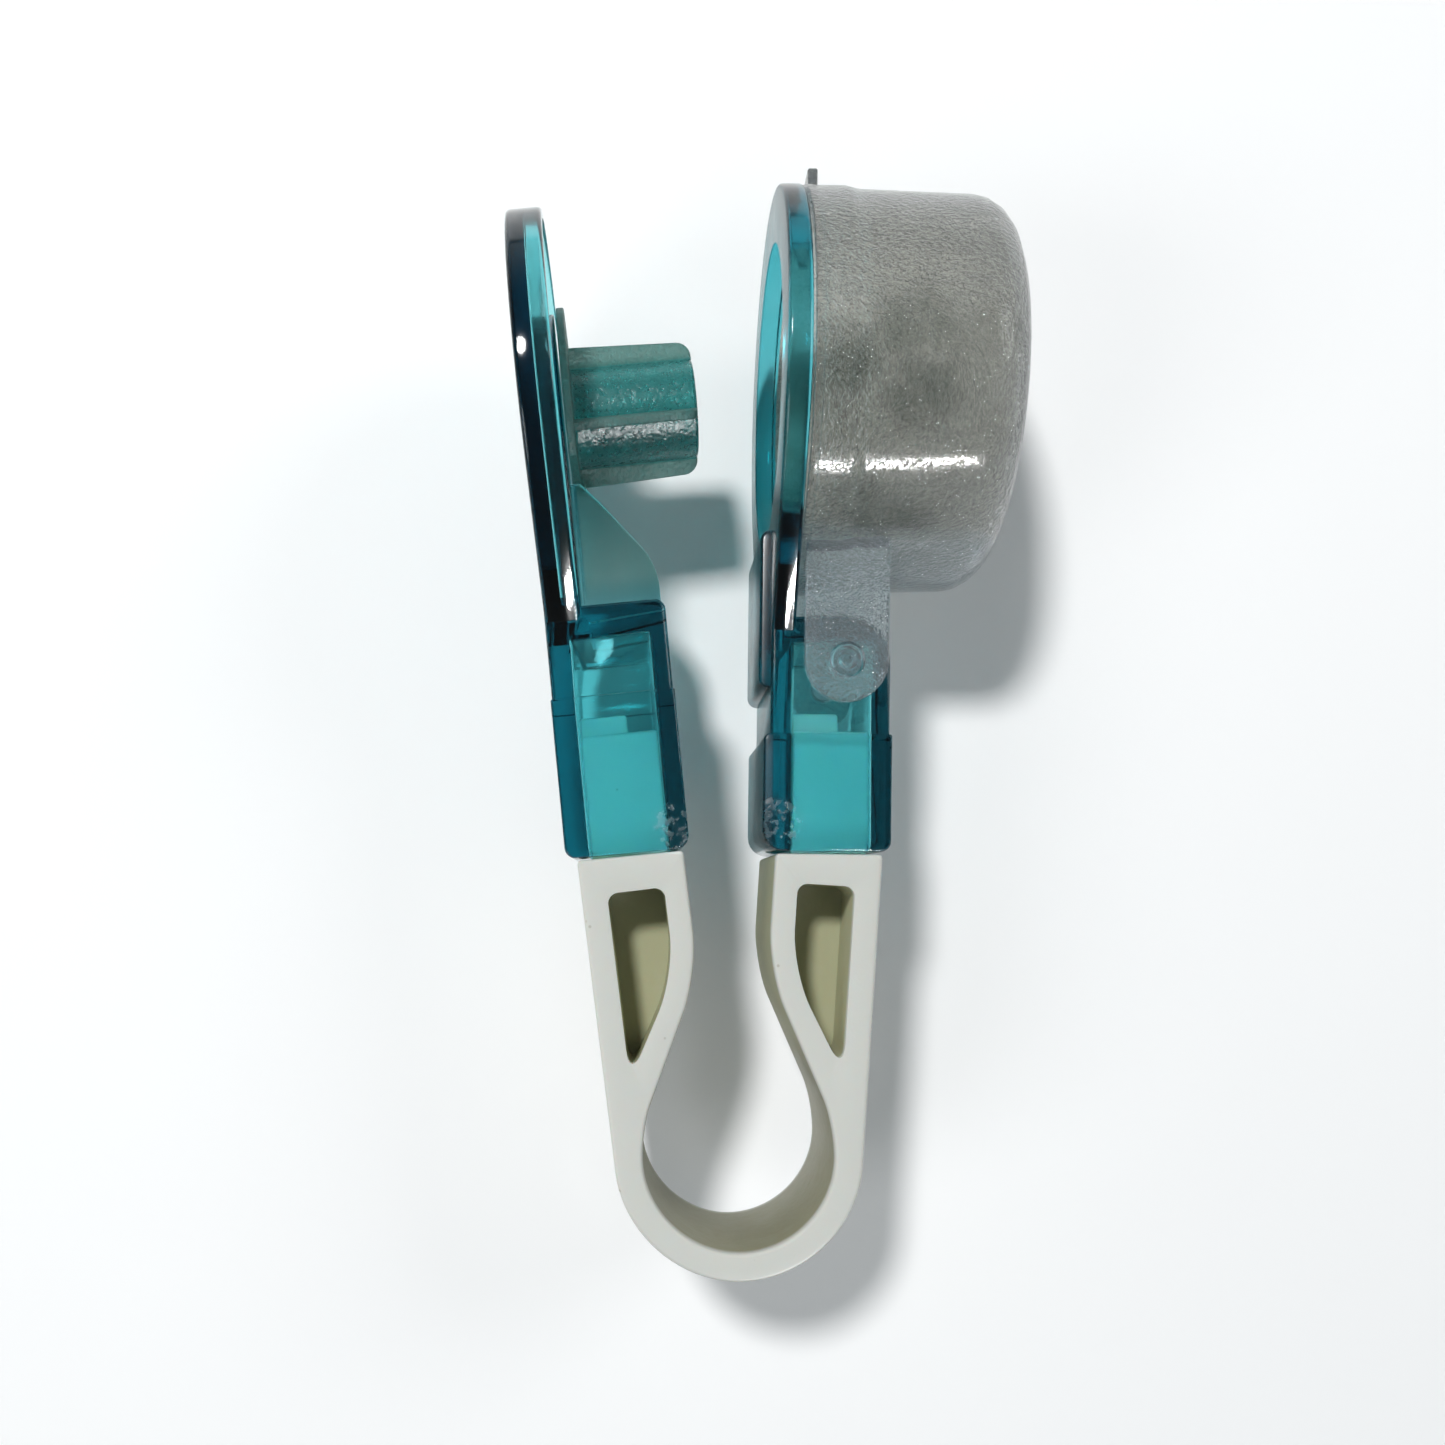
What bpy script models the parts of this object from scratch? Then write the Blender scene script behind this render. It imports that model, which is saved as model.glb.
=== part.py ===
"""Hand squeeze tool that pops pills out of a blister pack into a small catch cup.

The tool lies on its side, +Z up. +Y runs along the tool from the spring's bow to the cup's thumb
tab, and +X runs from the plunger arm to the catch cup. The frame's origin is under the middle of
the whole object, on the surface it lies on. All the sizes below are in millimetres; the meshes are
made in metres. A U-shaped spring carries two arms. The left arm drives a finned plunger through
the hole of the right arm's ring plate, and the cup turns on two pins to let the pills out.
"""

from math import asin, atan2, cos, radians, sin, tan, tau

import bmesh
import bpy
from mathutils import Matrix, Vector

METRES = 0.001

# Where the middle of the bow lies, measured from the frame's origin.
BOW_CENTRE = Vector((-2.2, -49.78, 23.0))
GAP = 0.3

# How far a solid reaches into its neighbour before they are joined, and a cutter past a face.
SINK = 1.0
OVERRUN = 1.0
# How far one face stays back from another, so that no two faces lie in one plane.
OFFSET = 0.1

# Facets: of a whole disc, of the plunger, of a bore or pin, of the bow's quarter, and of the
# smaller arcs and rounded corners.
DISC_STEPS = 72
PLUNGER_STEPS = 48
BORE_STEPS = 32
BOW_STEPS = 24
ARC_STEPS = 8
CORNER_STEPS = 5
SHARP_ANGLE = radians(35)

# Spring: one moulding in the real tool, split at the bottom of the bow, where it bends.
SPRING_DEPTH = 21.0
BOW_OUTER_R = 14.0
BOW_EYE_R = 10.8
FLANK_R = 16.0
LIMB_SLOPE = radians(27)
KNEE_R = 20.0
LIMB_WALL = 2.65
LEFT_LIMB_LEAN = radians(7.0)
RIGHT_LIMB_LEAN = radians(3.6)
POCKET_TOP = 31.2
POCKET_WEB = 1.8
POCKET_SLOPE = radians(30)
POCKET_TIP_R = 0.9
POCKET_CORNER_R = 1.2
POCKET_OUTER_WALL = 2.9
FLANK_RISE = 9.6

# Plunger arm, in its own frame: x from its outer face to the jaw, y along the arm.
LEFT_LEAN = radians(5.44)
LEFT_FOOT = Vector((-20.55, 46.5, 0.0))
LEFT_BLOCK = 13.7
LEFT_MOUTH = -13.0
LEFT_BLOCK_TOP = 15.2
LEFT_CAVITY = (2.5, 11.7)
LEFT_CAVITY_TOP = 12.0
LEFT_COLLAR_TOP = 5.0
PAD_R = 22.7
PAD_Y = 40.0
PAD_FOOT = 13.2
PAD_THICK = 2.05
TRAY_WALL = 1.2
TRAY_FOOT = 16.2
BOSS_R = 11.5
BOSS_TOP = 4.2
NECK_HALF = 8.0
RIB_THICK = 1.3
WEB_TOP = 31.9
WEB_TOP_WIDTH = 5.9
WEB_FILLET = 6.0
WEB_CORNER = Vector((13.6, 17.8))
WEB_TURN = radians(52)

# Plunger, on the boss.
PLUNGER_Y = 39.7
PLUNGER_FLANGE_R = 12.4
PLUNGER_FLANGE = (4.5, 5.4)
FLANGE_FLAT = WEB_TOP + GAP
PLUNGER_TIP = 19.8
PLUNGER_CORE_R = 5.6
PLUNGER_BORE_R = 3.8
PLUNGER_BORE_END = 7.0
FIN_THICK = 1.1
FIN_ROOT_R = 8.0
FIN_TIP_R = 7.4
FIN_CORNER_R = 1.7
FIN_TURN = radians(24.5)

# Ring arm, in its own frame: x from its jaw face to the cup, y up from the top of the block.
RIGHT_LEAN = radians(-0.7)
RIGHT_FOOT = Vector((3.8, 61.1, 0.0))
RIGHT_BLOCK = 13.5
RIGHT_MOUTH = -26.6
RIGHT_CAVITY = (2.25, 11.5)
RIGHT_CAVITY_TOP = -2.8
RIGHT_COLLAR_TOP = -13.4
JAW_COLLAR_STEP = 0.85
CUP_COLLAR_STEP = 0.05
COLLAR_STEP = 0.15
RING_R = 23.0
RING_Y = 27.8
RING_THICK = 2.7
HOLE_R = 17.0
JAW_LEDGE = 1.3
JAW_LEDGE_SPAN = (-8.0, 10.0)
JAW_LEDGE_HALF_DEPTH = 8.5

# Both sleeves and the tenons inside them.
COLLAR_HALF_DEPTH = 10.8
LEFT_BLOCK_HALF_DEPTH = 10.4
BLOCK_HALF_DEPTH = 9.4
CAVITY_HALF_DEPTH = 8.3
TENON_LENGTH = 13.7
TENON_ROOT = 2.5
TONGUE = (5.4, 2.2)
TONGUE_INSET = 1.5

# Catch cup and its hinge. The hinge is concentric with the block's rounded corner. The skirt and
# the shoulder are each a step in from the rim's radius and how far along the cup it reaches.
HINGE_CORNER_R = 5.2
HINGE_IN_ARM = (RIGHT_BLOCK - HINGE_CORNER_R, -HINGE_CORNER_R)
RIM_PLANE = RING_THICK + GAP
CUP_DEPTH = 23.5
CUP_WALL = 1.3
CUP_END_R = 5.0
CUP_RIM_THICK = 0.9
CUP_SKIRT = (0.15, 4.4)
CUP_SHOULDER = (0.5, 4.8)
CUP_DRAFT = 1.0
LUG_HALF_WIDTH = 4.67
LUG_TOP = 8.85
LUG_THICK = 1.7
LUG_HOLE_R = 2.0
ARM_BORE_R = 1.95
PIN_R = 1.75
PIN_END_R = 1.4
TAB_HALF_WIDTH = 6.0
TAB_TOP = 24.7
TAB_SIDES = (0.85, 2.0)


# Outlines


def arc(centre, radius, start, stop, steps):
    """Points along an arc, from angle start to angle stop."""
    angles = [start + (stop - start) * step / steps for step in range(steps + 1)]
    return [(centre[0] + radius * cos(a), centre[1] + radius * sin(a)) for a in angles]


def circle(centre, radius, steps):
    return arc(centre, radius, 0.0, tau, steps)[:-1]


def box_outline(x_low, x_high, y_low, y_high):
    return [(x_low, y_low), (x_high, y_low), (x_high, y_high), (x_low, y_high)]


def meet(point, direction, other, other_direction):
    """Where two lines in the plane cross."""
    across = direction[0] * other_direction[1] - direction[1] * other_direction[0]
    gap = (other[0] - point[0], other[1] - point[1])
    along = (gap[0] * other_direction[1] - gap[1] * other_direction[0]) / across
    return (point[0] + along * direction[0], point[1] + along * direction[1])


# Solids


def frame_at(foot, lean):
    return Matrix.Translation(foot) @ Matrix.Rotation(lean, 4, "Z")


LEFT_FRAME = frame_at(LEFT_FOOT, LEFT_LEAN)
RIGHT_FRAME = frame_at(RIGHT_FOOT, RIGHT_LEAN)
TO_WORLD = Matrix.Scale(METRES, 4) @ Matrix.Translation(BOW_CENTRE)


def new_object(name, mesh_data, place):
    """Closes a bmesh into an object: place takes it from its own frame to the bow's frame."""
    bmesh.ops.recalc_face_normals(mesh_data, faces=mesh_data.faces)
    mesh = bpy.data.meshes.new(name)
    mesh_data.to_mesh(mesh)
    mesh_data.free()
    mesh.transform(TO_WORLD @ place)
    body = bpy.data.objects.new(name, mesh)
    bpy.context.scene.collection.objects.link(body)
    return body


def prism(name, outline, low, high, along="Z", place=Matrix()):
    """An outline swept from low to high. Along X, the outline's two numbers are y and z."""
    mesh_data = bmesh.new()
    rings = []
    for level in (low, high):
        if along == "Z":
            rings.append([mesh_data.verts.new((a, b, level)) for a, b in outline])
        else:
            rings.append([mesh_data.verts.new((level, a, b)) for a, b in outline])
    mesh_data.faces.new(rings[0])
    mesh_data.faces.new(rings[1])
    for index in range(len(outline)):
        after = (index + 1) % len(outline)
        mesh_data.faces.new((rings[0][index], rings[0][after], rings[1][after], rings[1][index]))
    return new_object(name, mesh_data, place)


def turned(name, profile, steps, place=Matrix()):
    """A profile of (along, radius) points turned about X. It starts and ends on the axis."""
    mesh_data = bmesh.new()
    rings = []
    for along, radius in profile:
        count = 1 if radius == 0 else steps
        angles = [tau * step / steps for step in range(count)]
        rings.append([mesh_data.verts.new((along, radius * cos(a), radius * sin(a))) for a in angles])
    for ring, after in zip(rings, rings[1:]):
        for step in range(steps):
            corners = [ring[step % len(ring)], ring[(step + 1) % len(ring)]]
            corners += [after[(step + 1) % len(after)], after[step % len(after)]]
            mesh_data.faces.new(list(dict.fromkeys(corners)))
    return new_object(name, mesh_data, place)


def combine(body, tool, operation):
    """Adds a tool to a body, or cuts it away, and keeps the tool as a hidden helper."""
    modifier = body.modifiers.new(tool.name, "BOOLEAN")
    modifier.operation = operation
    modifier.solver = "EXACT"
    modifier.object = tool
    tool.hide_render = True
    tool.display_type = "WIRE"


def join(body, *tools):
    for tool in tools:
        combine(body, tool, "UNION")


def cut(body, *tools):
    for tool in tools:
        combine(body, tool, "DIFFERENCE")


def material(name, colour, roughness, alpha=1.0):
    made = bpy.data.materials.new(name)
    made.use_nodes = True
    shader = made.node_tree.nodes["Principled BSDF"]
    shader.inputs["Base Color"].default_value = (*colour, 1.0)
    shader.inputs["Roughness"].default_value = roughness
    shader.inputs["Metallic"].default_value = 0.0
    shader.inputs["Alpha"].default_value = alpha
    return made


def finish(body, pivot, finish_material):
    """Gives a piece its material, smooth shading and an origin on the joint it turns about."""
    pivot_m = (BOW_CENTRE + pivot) * METRES
    body.data.transform(Matrix.Translation(-pivot_m))
    body.location = pivot_m
    body.data.materials.append(finish_material)
    body.data.shade_smooth()
    body.data.set_sharp_from_angle(angle=SHARP_ANGLE)


# The spring


def limb_outline(side, lean, frame, mouth):
    """One half of the spring in the plane: from the bow's split, up the limb and back down.

    The limb is drawn upright, outer edge at BOW_OUTER_R, then leaned outwards and, for the left
    half, mirrored. Its shoulder lies along the arm's mouth, a gap below it.
    """

    def lean_out(point):
        x, y = point
        return (side * (x * cos(lean) + y * sin(lean)), y * cos(lean) - x * sin(lean))

    slope = LIMB_SLOPE
    flank_centre = (BOW_EYE_R - FLANK_R, 0.0)
    flank = arc(flank_centre, FLANK_R, 0.0, slope, ARC_STEPS)
    knee_x = flank[-1][0] - FLANK_RISE * tan(slope) - KNEE_R * (1 - cos(slope))
    knee_y = flank[-1][1] + FLANK_RISE + KNEE_R * sin(slope)
    knee = arc((knee_x + KNEE_R, knee_y), KNEE_R, -tau / 2 + slope, -tau / 2, ARC_STEPS)
    shoulder_place = frame @ Vector((0.0, mouth - GAP, 0.0))
    shoulder_line = frame.to_3x3() @ Vector((1.0, 0.0, 0.0))
    edge = (side * sin(lean), cos(lean))
    outer_top = meet(lean_out((BOW_OUTER_R, 0)), edge, shoulder_place, shoulder_line)
    inner_top = meet(lean_out((knee_x, knee_y)), edge, shoulder_place, shoulder_line)
    split = GAP / 2
    outer_bow = arc((0, 0), BOW_OUTER_R, -tau / 4, -lean, BOW_STEPS)
    inner_bow = arc((0, 0), BOW_EYE_R, -tau / 4, -lean, BOW_STEPS)
    outer_bow = [(side * max(x, split), y) for x, y in outer_bow]
    inner_bow = [(side * max(x, split), y) for x, y in inner_bow]
    upright = [lean_out(point) for point in flank[1:] + knee]
    outline = outer_bow + [outer_top, inner_top] + upright[::-1] + inner_bow[::-1]
    return outline, lean_out, (knee_x, knee_y)


def pocket_outline(lean_out, knee):
    """The blind pocket in each face of a limb: a wall's width inside the limb's own edges."""
    slope = POCKET_SLOPE
    knee_x, knee_y = knee
    inner_r = KNEE_R - LIMB_WALL
    knee_centre = (knee_x + KNEE_R, knee_y)
    inner = arc(knee_centre, inner_r, -tau / 2, -tau / 2 + slope, ARC_STEPS)
    outer_x = BOW_OUTER_R - POCKET_OUTER_WALL
    down = (sin(slope), -cos(slope))
    apex = meet(inner[-1], down, (outer_x, 0), (0, 1))
    tip_centre = (outer_x - POCKET_TIP_R, apex[1] + POCKET_TIP_R / tan(slope / 2))
    tip = arc(tip_centre, POCKET_TIP_R, -tau / 2 + slope, 0.0, ARC_STEPS)
    r = POCKET_CORNER_R
    top_right = arc((outer_x - r, POCKET_TOP - r), r, 0.0, tau / 4, CORNER_STEPS)
    top_left = arc((inner[0][0] + r, POCKET_TOP - r), r, tau / 4, tau / 2, CORNER_STEPS)
    return [lean_out(point) for point in inner + tip + top_right + top_left]


def tenon(name, frame, cavity, mouth, body):
    """The tenon that a sleeve slides over, with a narrower tongue at its end."""
    top = mouth + TENON_LENGTH
    low, high = cavity[0] + GAP, cavity[1] - GAP
    depth = CAVITY_HALF_DEPTH - GAP
    shaft = box_outline(low, high, mouth - TENON_ROOT, top)
    block = prism(f"{name}_tenon", shaft, -depth, depth, place=frame)
    tongue = box_outline(low, low + TONGUE[0], top - SINK, top + TONGUE[1])
    depth -= TONGUE_INSET
    tip = prism(f"{name}_tongue", tongue, -depth, depth, place=frame)
    join(body, block, tip)


def spring_half(name, side, lean, frame, cavity, mouth):
    half = SPRING_DEPTH / 2
    outline, lean_out, knee = limb_outline(side, lean, frame, mouth)
    body = prism(name, outline, -half, half)
    tenon(name, frame, cavity, mouth, body)
    pocket = pocket_outline(lean_out, knee)
    web = POCKET_WEB / 2
    upper = prism(f"{name}_upper_pocket", pocket, web, half + OVERRUN)
    lower = prism(f"{name}_lower_pocket", pocket, -half - OVERRUN, -web)
    cut(body, upper, lower)
    return body


# The arms


def paddle_outline(centre_y, radius, foot_y, foot_half):
    """A round pad that narrows to a neck: its sides run straight to the disc's tangent points."""
    reach = centre_y - foot_y
    span = (reach**2 + foot_half**2) ** 0.5
    flare = asin(radius / span) - atan2(foot_half, reach)
    disc = arc((0.0, centre_y), radius, -flare, tau / 2 + flare, DISC_STEPS)
    outline = [(foot_half, foot_y)] + disc + [(-foot_half, foot_y)]
    return [(y, z) for z, y in outline], flare


def sleeve(name, frame, cavity, cavity_top, mouth, collar_top, collar, body):
    """The collar round a sleeve's mouth, and the cavity that its tenon fills."""
    depth = COLLAR_HALF_DEPTH
    ring = box_outline(collar[0], collar[1], mouth, collar_top)
    join(body, prism(f"{name}_collar", ring, -depth, depth, place=frame))
    depth = CAVITY_HALF_DEPTH
    hollow = box_outline(cavity[0], cavity[1], mouth - OVERRUN, cavity_top)
    cut(body, prism(f"{name}_cavity", hollow, -depth, depth, place=frame))


def plunger_arm():
    """A tray-shaped thumb pad on a sleeve, with a solid boss and neck, and a web behind the boss."""
    frame = LEFT_FRAME
    depth = LEFT_BLOCK_HALF_DEPTH
    block = box_outline(0.0, LEFT_BLOCK, LEFT_MOUTH + SINK, LEFT_BLOCK_TOP)
    body = prism("plunger_arm", block, -depth, depth, place=frame)
    foot_half = depth - 2 * OFFSET
    pad, flare = paddle_outline(PAD_Y, PAD_R, PAD_FOOT, foot_half)
    join(body, prism("arm_pad", pad, OFFSET / 2, BOSS_TOP - OFFSET, along="X", place=frame))
    tray_half = foot_half + (TRAY_FOOT - PAD_FOOT) * tan(flare) - TRAY_WALL / cos(flare)
    tray, _ = paddle_outline(PAD_Y, PAD_R - TRAY_WALL, TRAY_FOOT, tray_half)
    cut(body, prism("arm_tray", tray, PAD_THICK, BOSS_TOP + OVERRUN, along="X", place=frame))
    boss, _ = paddle_outline(PAD_Y, BOSS_R, LEFT_BLOCK_TOP - 1.5 * SINK, NECK_HALF)
    join(body, prism("arm_boss", boss, PAD_THICK - SINK, BOSS_TOP, along="X", place=frame))
    web_foot = LEFT_BLOCK_TOP - 2 * SINK
    web = [(SINK, web_foot), (LEFT_BLOCK - OFFSET, web_foot)]
    web += arc(WEB_CORNER - Vector((WEB_FILLET, 0)), WEB_FILLET, 0.0, WEB_TURN, ARC_STEPS)
    web += [(WEB_TOP_WIDTH, WEB_TOP), (SINK, WEB_TOP)]
    join(body, prism("arm_web", web, -RIB_THICK / 2, RIB_THICK / 2, place=frame))
    collar = (-COLLAR_STEP, LEFT_BLOCK + COLLAR_STEP)
    cavity = (LEFT_CAVITY, LEFT_CAVITY_TOP)
    sleeve("left", frame, *cavity, LEFT_MOUTH, LEFT_COLLAR_TOP, collar, body)
    return body


def plunger():
    """Flange, hollow core and four fins at right angles, on the arm's boss."""
    seat = LEFT_FRAME @ Matrix.Translation((0.0, PLUNGER_Y, 0.0))
    start, end = PLUNGER_FLANGE
    profile = [(start, 0), (start, PLUNGER_FLANGE_R), (end, PLUNGER_FLANGE_R)]
    profile += [(end, PLUNGER_CORE_R), (PLUNGER_TIP, PLUNGER_CORE_R), (PLUNGER_TIP, PLUNGER_BORE_R)]
    profile += [(PLUNGER_BORE_END, PLUNGER_BORE_R), (PLUNGER_BORE_END, 0)]
    body = turned("plunger", profile, PLUNGER_STEPS, seat)
    flat = FLANGE_FLAT - PLUNGER_Y
    below = box_outline(start - OVERRUN, end + OFFSET / 10, -2 * PLUNGER_FLANGE_R, flat)
    deep = PLUNGER_FLANGE_R + OVERRUN
    cut(body, prism("flange_flat", below, -deep, deep, place=seat))
    inside = (PLUNGER_CORE_R + PLUNGER_BORE_R) / 2
    corner_centre = (PLUNGER_TIP - FIN_CORNER_R, FIN_TIP_R - FIN_CORNER_R)
    tip_corner = arc(corner_centre, FIN_CORNER_R, tau / 4, 0.0, CORNER_STEPS)
    root = (start + end) / 2
    fin = [(root, inside), (root, FIN_ROOT_R)] + tip_corner + [(PLUNGER_TIP - OFFSET / 2, inside)]
    for index in range(4):
        turn = Matrix.Rotation(FIN_TURN + index * tau / 4, 4, "X")
        join(body, prism(f"fin_{index}", fin, -FIN_THICK / 2, FIN_THICK / 2, place=seat @ turn))
    return body


def ring_arm():
    """A ring plate on a sleeve, with a ledge on the jaw side and a bore for the cup's pins."""
    frame = RIGHT_FRAME
    depth = BLOCK_HALF_DEPTH
    corner = arc(HINGE_IN_ARM, HINGE_CORNER_R, 0.0, tau / 4, ARC_STEPS)
    foot = RIGHT_MOUTH + SINK
    block = [(0.0, foot), (RIGHT_BLOCK, foot)] + corner + [(0.0, 0.0)]
    body = prism("ring_arm", block, -depth, depth, place=frame)
    plate, _ = paddle_outline(RING_Y, RING_R, -2 * SINK, depth - 2 * OFFSET)
    join(body, prism("ring_plate", plate, OFFSET / 2, RING_THICK, along="X", place=frame))
    ledge = box_outline(-JAW_LEDGE, SINK, *JAW_LEDGE_SPAN)
    join(body, prism("jaw_ledge", ledge, -JAW_LEDGE_HALF_DEPTH, JAW_LEDGE_HALF_DEPTH, place=frame))
    hole = circle((RING_Y, 0.0), HOLE_R, DISC_STEPS)
    cut(body, prism("ring_hole", hole, -OVERRUN, RING_THICK + OVERRUN, along="X", place=frame))
    collar = (-JAW_COLLAR_STEP, RIGHT_BLOCK + CUP_COLLAR_STEP)
    cavity = (RIGHT_CAVITY, RIGHT_CAVITY_TOP)
    sleeve("right", frame, *cavity, RIGHT_MOUTH, RIGHT_COLLAR_TOP, collar, body)
    bore = circle(HINGE_IN_ARM, ARM_BORE_R, BORE_STEPS)
    cut(body, prism("arm_bores", bore, -depth - OVERRUN, depth + OVERRUN, place=frame))
    return body


# The cup and its hinge


def catch_cup():
    """A round cup with a stepped skirt behind its rim, a thumb tab and two hinge lugs."""
    frame = RIGHT_FRAME
    seat = frame @ Matrix.Translation((RIM_PLANE, RING_Y, 0.0))
    wall, end_r = CUP_WALL, CUP_END_R
    skirt_r, skirt_end = RING_R - CUP_SKIRT[0], CUP_SKIRT[1]
    shoulder_r, shoulder_end = RING_R - CUP_SHOULDER[0], CUP_SHOULDER[1]
    bend_centre = (CUP_DEPTH - end_r, RING_R - CUP_DRAFT - end_r)
    outer = [(0.0, RING_R), (CUP_RIM_THICK, RING_R), (CUP_RIM_THICK, skirt_r)]
    outer += [(skirt_end, skirt_r), (shoulder_end, shoulder_r)]
    outer += arc(bend_centre, end_r, tau / 4, 0.0, ARC_STEPS)
    inner = [(0.0, skirt_r - wall)] + arc(bend_centre, end_r - wall, tau / 4, 0.0, ARC_STEPS)
    profile = [(CUP_DEPTH, 0)] + outer[::-1] + inner + [(CUP_DEPTH - wall, 0)]
    body = turned("catch_cup", profile, DISC_STEPS, seat)
    tab = box_outline(*TAB_SIDES, RING_R - SINK, TAB_TOP)
    join(body, prism("cup_tab", tab, -TAB_HALF_WIDTH, TAB_HALF_WIDTH, place=seat))
    hinge_x, hinge_y = HINGE_IN_ARM
    low = BLOCK_HALF_DEPTH + GAP
    for name, z_low in (("upper", low), ("lower", -low - LUG_THICK)):
        end = arc(HINGE_IN_ARM, LUG_HALF_WIDTH, -tau / 2, 0.0, 2 * ARC_STEPS)
        lug = end + [(hinge_x + LUG_HALF_WIDTH, LUG_TOP), (hinge_x - LUG_HALF_WIDTH, LUG_TOP)]
        join(body, prism(f"{name}_lug", lug, z_low, z_low + LUG_THICK, place=frame))
    reach = low + LUG_THICK + OVERRUN
    bore = circle(HINGE_IN_ARM, LUG_HOLE_R, BORE_STEPS)
    cut(body, prism("lug_bores", bore, -reach, reach, place=frame))
    return body


def hinge_pin(name, side):
    """A pin through one lug and the sleeve's wall beside it, with a small chamfer at each end."""
    start, end = CAVITY_HALF_DEPTH - GAP, BLOCK_HALF_DEPTH + GAP + LUG_THICK
    chamfer = PIN_R - PIN_END_R
    profile = [(start, 0), (start, PIN_END_R), (start + chamfer, PIN_R)]
    profile += [(end - chamfer, PIN_R), (end, PIN_END_R), (end, 0)]
    upright = Matrix.Rotation(-tau / 4 * side, 4, "Y")
    place = RIGHT_FRAME @ Matrix.Translation((*HINGE_IN_ARM, 0.0)) @ upright
    return turned(name, profile, BORE_STEPS, place)


def build():
    for old in list(bpy.data.objects):
        bpy.data.objects.remove(old, do_unlink=True)
    squeeze = Vector((0.0, -(BOW_OUTER_R + BOW_EYE_R) / 2, 0.0))
    hinge = RIGHT_FRAME @ Vector((*HINGE_IN_ARM, 0.0))
    white = material("white_nylon", (0.78, 0.78, 0.74), 0.45)
    teal = material("teal_clear_plastic", (0.0, 0.30, 0.34), 0.08, 0.8)
    frosted = material("teal_frosted_plastic", (0.12, 0.45, 0.44), 0.5, 0.8)
    clear = material("clear_plastic", (0.72, 0.74, 0.72), 0.15, 0.4)
    left = spring_half("spring_left", -1, LEFT_LIMB_LEAN, LEFT_FRAME, LEFT_CAVITY, LEFT_MOUTH)
    right = spring_half("spring_right", 1, RIGHT_LIMB_LEAN, RIGHT_FRAME, RIGHT_CAVITY, RIGHT_MOUTH)
    finish(left, squeeze, white)
    finish(right, squeeze, white)
    finish(plunger_arm(), squeeze, teal)
    finish(plunger(), squeeze, frosted)
    finish(ring_arm(), squeeze, teal)
    finish(catch_cup(), hinge, clear)
    finish(hinge_pin("hinge_pin_upper", 1), hinge, clear)
    finish(hinge_pin("hinge_pin_lower", -1), hinge, clear)


build()
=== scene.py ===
from math import asin, atan2, cos, pi, radians, sin, tan

import bmesh
import bpy
from mathutils import Matrix, Vector


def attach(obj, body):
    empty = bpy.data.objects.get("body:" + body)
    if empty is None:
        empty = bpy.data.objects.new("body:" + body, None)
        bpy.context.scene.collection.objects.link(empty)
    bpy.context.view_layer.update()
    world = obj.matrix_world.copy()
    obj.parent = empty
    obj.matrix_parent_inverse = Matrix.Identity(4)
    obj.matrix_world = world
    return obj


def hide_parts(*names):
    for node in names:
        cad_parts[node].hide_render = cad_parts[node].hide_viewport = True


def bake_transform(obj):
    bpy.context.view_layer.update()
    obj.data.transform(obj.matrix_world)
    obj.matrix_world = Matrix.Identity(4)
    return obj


# Blister pack popper: a white U spring in two clear teal arms, with a clear cup on pins.
# Shapes are drawn in millimetres and put in place, in metres, by putInPlace.

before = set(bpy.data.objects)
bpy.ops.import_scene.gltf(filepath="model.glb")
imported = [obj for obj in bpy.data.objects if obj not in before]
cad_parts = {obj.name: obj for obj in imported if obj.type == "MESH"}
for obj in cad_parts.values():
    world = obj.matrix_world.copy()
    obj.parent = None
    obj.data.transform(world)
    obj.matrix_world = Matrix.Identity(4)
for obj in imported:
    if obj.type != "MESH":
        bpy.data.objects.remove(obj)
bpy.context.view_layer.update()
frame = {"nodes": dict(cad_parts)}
print("frame loaded:", ", ".join(frame["nodes"]))

millimetre = 0.001
layout = {
    "bow": Vector((-2.2, -49.78, 23.0)),  # middle of the bow, where the plane drawings start
    "limbLeans": {-1: 7.0, 1: 3.6},  # the spring's left limb is side -1, its right limb side 1
    "leftFoot": Vector((-20.55, 46.5, 0.0)),
    "leftLean": 5.44,
    "rightFoot": Vector((3.8, 61.1, 0.0)),
    "rightLean": -0.7,
    "hinge": Vector((8.3, -5.2)),  # in the ring arm's own frame
    "cupSeat": Vector((3.0, 27.8, 0.0)),
    "plungerSeat": Vector((0.0, 39.7, 0.0)),
}

cameraSet = {"lens": 33.4, "sensor": 36.0, "shift": (0.0571, 0.1228), "nearest": 0.005,
             "place": (-11.11, 28.96, 160.8)}  # from the bow, in millimetres


def makeCamera():
    data = bpy.data.cameras.new("camera")
    data.lens = cameraSet["lens"]
    data.sensor_width = cameraSet["sensor"]
    data.shift_x, data.shift_y = cameraSet["shift"]
    data.clip_start = cameraSet["nearest"]
    camera = bpy.data.objects.new("camera", data)
    camera.location = (layout["bow"] + Vector(cameraSet["place"])) * millimetre
    bpy.context.scene.collection.objects.link(camera)
    bpy.context.scene.camera = camera


makeCamera()
print("camera placed")


def placeAt(foot, lean):
    return Matrix.Translation(foot) @ Matrix.Rotation(radians(lean), 4, "Z")


leftPlace = placeAt(layout["leftFoot"], layout["leftLean"])
rightPlace = placeAt(layout["rightFoot"], layout["rightLean"])
# a plane drawing stood up across X
alongX = Matrix(((0, 0, 1, 0), (1, 0, 0, 0), (0, 1, 0, 0), (0, 0, 0, 1)))

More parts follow.
